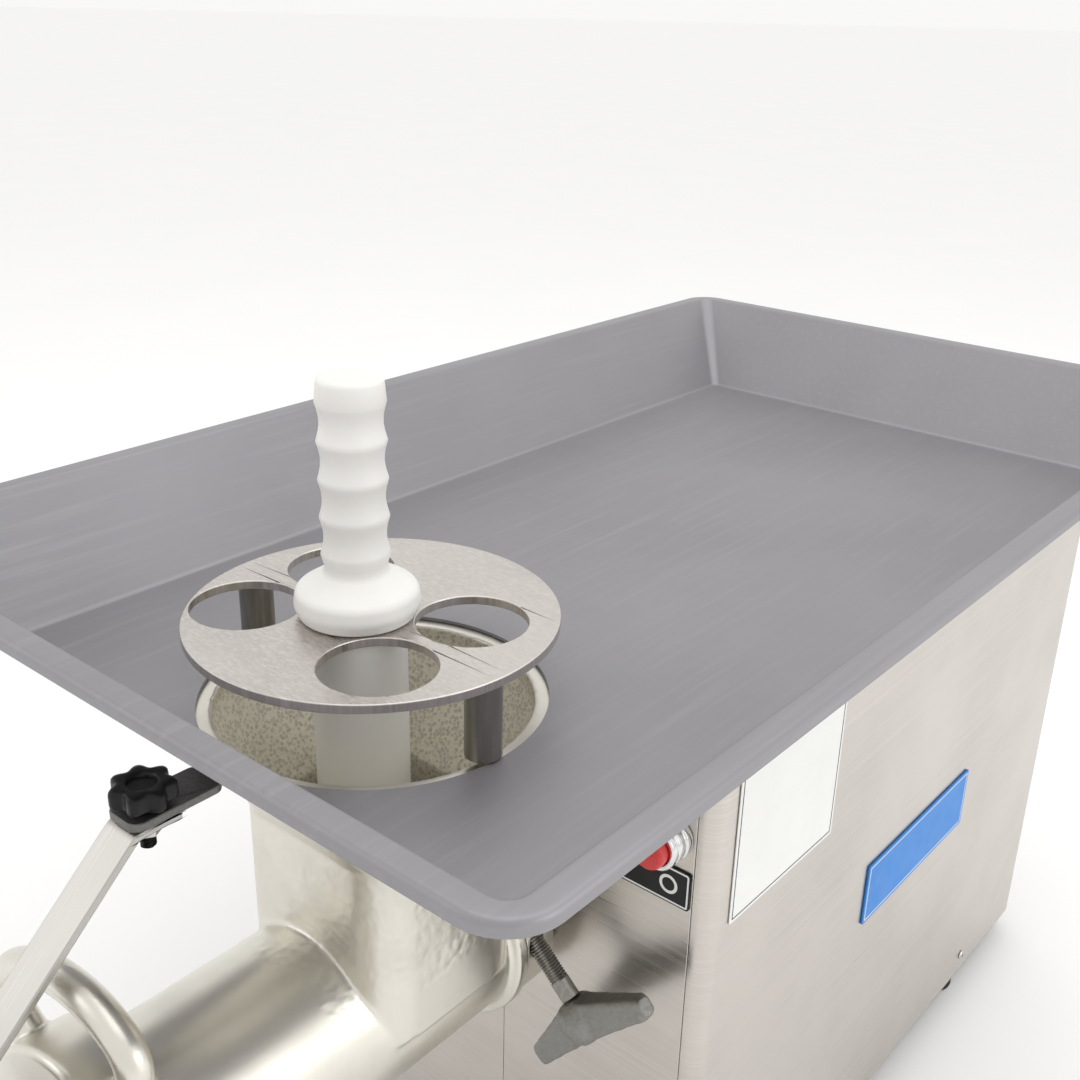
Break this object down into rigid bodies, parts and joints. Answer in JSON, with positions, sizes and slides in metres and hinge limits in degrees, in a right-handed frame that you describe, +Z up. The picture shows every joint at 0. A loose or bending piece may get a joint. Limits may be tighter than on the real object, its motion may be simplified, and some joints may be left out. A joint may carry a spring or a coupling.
{
  "type": "electric meat grinder",
  "caption": "Commercial electric meat grinder: steel feed pan with finger guard and stomper, cast head with auger, retaining ring and plate, and a boxed motor drive with start and stop buttons.",
  "frame": {"origin": "centre of the object's footprint, on the table the feet stand on", "axes": "+Z up, +Y towards the motor end (rear), +X to the machine's right, the side with the two plates"},
  "size_m": [0.506, 0.991, 0.652],
  "materials": {
    "pan_steel": "satin, fine brushed",
    "brushed_steel": "brushed",
    "cast_steel": "satin tinned casting",
    "machined_steel": "brushed",
    "rough_cast": "rough casting",
    "gear_steel": "oiled steel",
    "bronze": "turned",
    "white_plastic": "satin",
    "black_plastic": "satin",
    "black_rubber": "matt",
    "motor_paint": "painted",
    "chrome": "polished",
    "red_plastic": "gloss",
    "green_plastic": "gloss",
    "label_white": "satin",
    "label_blue": "satin"
  },
  "bodies": {
    "frame": {"housing_shell": "brushed_steel", "front_panel_left": "brushed_steel", "front_panel_right": "brushed_steel", "rear_panel": "brushed_steel", "head_body": "cast_steel", "hole_plate": "machined_steel", "front_bearing": "machined_steel", "rear_bearing": "machined_steel", "leg_front_left": "machined_steel", "leg_front_right": "machined_steel", "leg_rear_left": "machined_steel", "leg_rear_right": "machined_steel", "side_screw_front_left": "machined_steel", "side_screw_front_right": "machined_steel", "side_screw_rear_left": "machined_steel", "side_screw_rear_right": "machined_steel", "attachment_hub": "rough_cast", "bracket": "rough_cast", "gearbox_case": "rough_cast", "gearbox_cover": "rough_cast", "base_plate": "gear_steel", "motor_rail_left": "gear_steel", "motor_rail_right": "gear_steel", "auger_washer": "bronze", "start_capacitor": "black_plastic", "switch_box": "black_plastic", "marking_strip": "black_plastic", "cable_gland": "black_plastic", "pad_front_left": "black_rubber", "pad_front_right": "black_rubber", "pad_rear_left": "black_rubber", "pad_rear_right": "black_rubber", "motor_body": "motor_paint", "motor_end_bell": "motor_paint", "start_bezel": "chrome", "stop_bezel": "chrome", "pale_side_plate": "label_white", "blue_side_plate": "label_blue"},
    "drive": {"output_shaft": "gear_steel", "output_gear": "gear_steel", "auger": "cast_steel", "knife": "machined_steel"},
    "motor_rotor": {"motor_shaft": "gear_steel", "motor_pinion": "gear_steel", "motor_fan": "black_plastic"},
    "ring": {"ring_nut": "cast_steel"},
    "clamp": {"clamp_rod": "gear_steel", "clamp_wing": "rough_cast"},
    "knob": {"star_knob": "black_plastic"},
    "deflector": {"strap_bar": "machined_steel", "outlet_shield": "brushed_steel", "shield_block": "machined_steel", "strap_nut": "machined_steel"},
    "pan": {"feed_pan": "pan_steel", "guard_disc": "machined_steel", "guard_post_left": "gear_steel", "guard_post_right": "gear_steel"},
    "pusher": {"stomper": "white_plastic"},
    "start": {"start_button": "green_plastic"},
    "stop": {"stop_button": "red_plastic"}
  },
  "joints": [
    {"name": "auger_spin", "type": "hinge", "parent": "frame", "child": "drive", "pos_m": [0.01, -0.1065, 0.29], "axis": [0, 1, 0], "continuous": true},
    {"name": "motor_spin", "type": "hinge", "parent": "frame", "child": "motor_rotor", "pos_m": [0.01, -0.0065, 0.1848], "axis": [0, 1, 0], "continuous": true},
    {"name": "ring_turn", "type": "hinge", "parent": "frame", "child": "ring", "pos_m": [0.01, -0.3965, 0.29], "axis": [0, -1, 0], "range_deg": [0, 720]},
    {"name": "clamp_turn", "type": "hinge", "parent": "frame", "child": "clamp", "pos_m": [0.107, -0.1365, 0.261], "axis": [0.7431, 0, -0.6691], "range_deg": [-25, 25]},
    {"name": "knob_turn", "type": "hinge", "parent": "frame", "child": "knob", "pos_m": [-0.002, -0.3435, 0.475], "axis": [0, 0, 1], "range_deg": [0, 720]},
    {"name": "deflector_swing", "type": "hinge", "parent": "frame", "child": "deflector", "pos_m": [-0.002, -0.3435, 0.46], "axis": [0, 0, 1], "range_deg": [-90, 55]},
    {"name": "pan_lift", "type": "slide", "parent": "frame", "child": "pan", "axis": [0, 0, 1], "range_m": [0, 0.15]},
    {"name": "stomper_lift", "type": "slide", "parent": "pan", "child": "pusher", "axis": [0, 0, 1], "range_m": [0, 0.2]},
    {"name": "start_press", "type": "slide", "parent": "frame", "child": "start", "axis": [0, 1, 0], "range_m": [0, 0.004], "stiffness_N_per_m": 500},
    {"name": "stop_press", "type": "slide", "parent": "frame", "child": "stop", "axis": [0, 1, 0], "range_m": [0, 0.004], "stiffness_N_per_m": 500}
  ],
  "couplings": [
    {"joint": "motor_spin", "follows": "auger_spin", "ratio": -5}
  ]
}
